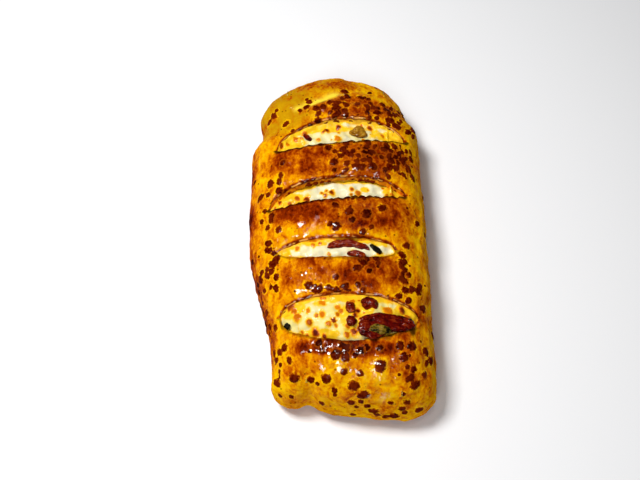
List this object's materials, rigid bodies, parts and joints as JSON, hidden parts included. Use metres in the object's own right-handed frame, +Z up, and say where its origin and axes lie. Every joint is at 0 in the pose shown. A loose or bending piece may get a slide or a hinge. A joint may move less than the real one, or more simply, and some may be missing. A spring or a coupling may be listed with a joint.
{
  "type": "stromboli",
  "caption": "Baked dough loaf folded round melted cheese, cut with slits across its top that show cheese, peppers and meat.",
  "frame": {"origin": "middle of the loaf's footprint, on the surface that it rests on", "axes": "+Y along the loaf towards its narrower end, +Z up out of the cut top, +X to the right seen from the broad end"},
  "size_m": [0.1372, 0.2888, 0.0604],
  "materials": {
    "crust": "baked dough crust, golden yellow to toasted brown, buttered, with dark blisters",
    "cheese": "melted cheese, cream white with yellow and browned spots, slightly oily",
    "roasted_pepper": "roasted red pepper, dark red and wet",
    "green_pepper": "cooked green pepper, olive and wet",
    "meat": "browned sausage and ham, dark red-brown and greasy",
    "herb": "charred leaf and pepper skin, blackish green"
  },
  "bodies": {
    "root": {"crust": "crust", "filling": "cheese", "green_pepper": "green_pepper", "roasted_pepper": "roasted_pepper", "sausage_ball": "meat", "sausage_crumb": "meat", "pepper_crumb": "roasted_pepper", "herb_left": "herb", "herb_right": "herb", "ham_strip_far": "meat", "ham_strip_near": "meat", "dark_pepper": "herb", "pepper_slice": "green_pepper", "red_pepper_bit": "roasted_pepper"}
  },
  "joints": []
}
